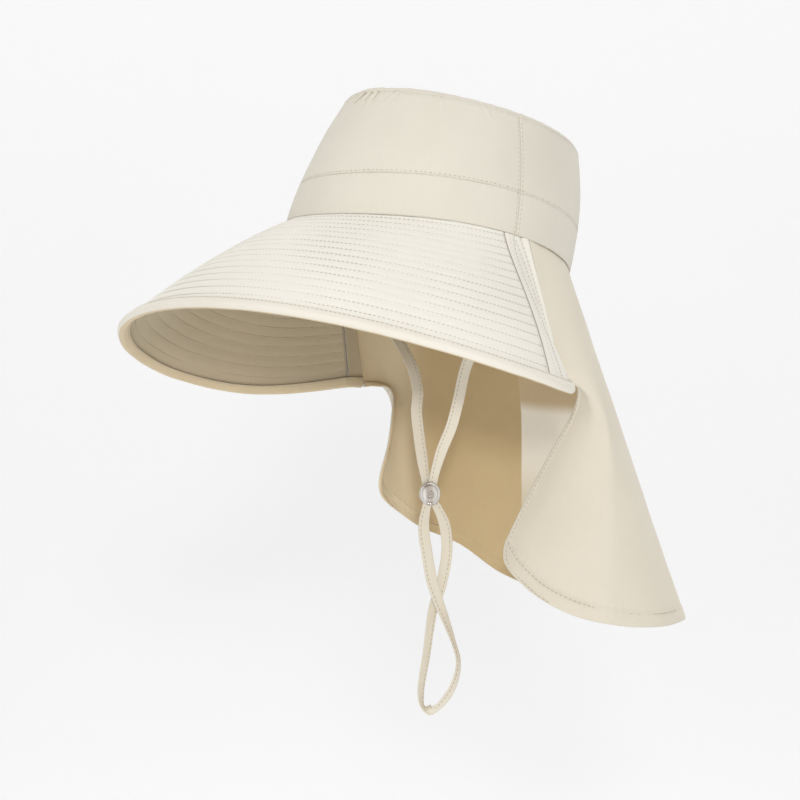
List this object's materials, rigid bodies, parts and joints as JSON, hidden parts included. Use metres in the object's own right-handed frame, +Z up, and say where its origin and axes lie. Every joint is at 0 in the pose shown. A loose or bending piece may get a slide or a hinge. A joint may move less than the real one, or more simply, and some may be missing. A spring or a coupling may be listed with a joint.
{
  "type": "flap sun hat",
  "caption": "Soft cream bucket hat with a wide stitched front brim, a neck flap hanging round the back and a chin strap with a clear slider.",
  "frame": {"origin": "middle of the head opening, at the crown's lower rim, where the hat sits on the head", "axes": "+Z up, the front brim towards -Y, the wearer's left towards +X; the crown leans back on the head"},
  "size_m": [0.341, 0.3832, 0.4103],
  "materials": {
    "crown_tip_cloth": "plain woven cotton",
    "crown_side_cloth": "plain woven cotton",
    "crown_band_cloth": "plain woven cotton",
    "brim_cloth": "quilted with parallel stitch rows",
    "brim_end_cloth": "plain woven cotton",
    "binding_cloth": "folded tape of the same cotton",
    "flap_cloth": "plain woven cotton",
    "flap_edge_cloth": "rolled edge of the same cotton",
    "strap_cloth": "stitched tape of the same cotton",
    "slider_clear": "clear, glossy"
  },
  "bodies": {
    "root": {"crown_tip": "crown_tip_cloth", "crown_side_front": "crown_side_cloth", "crown_side_back": "crown_side_cloth", "crown_band_front": "crown_band_cloth", "crown_band_back": "crown_band_cloth", "brim": "brim_cloth", "brim_end_left": "brim_end_cloth", "brim_end_right": "brim_end_cloth", "brim_binding": "binding_cloth", "flap": "flap_cloth", "flap_edge_left": "flap_edge_cloth", "flap_edge_right": "flap_edge_cloth", "chin_strap": "strap_cloth", "strap_slider": "slider_clear"}
  },
  "joints": []
}
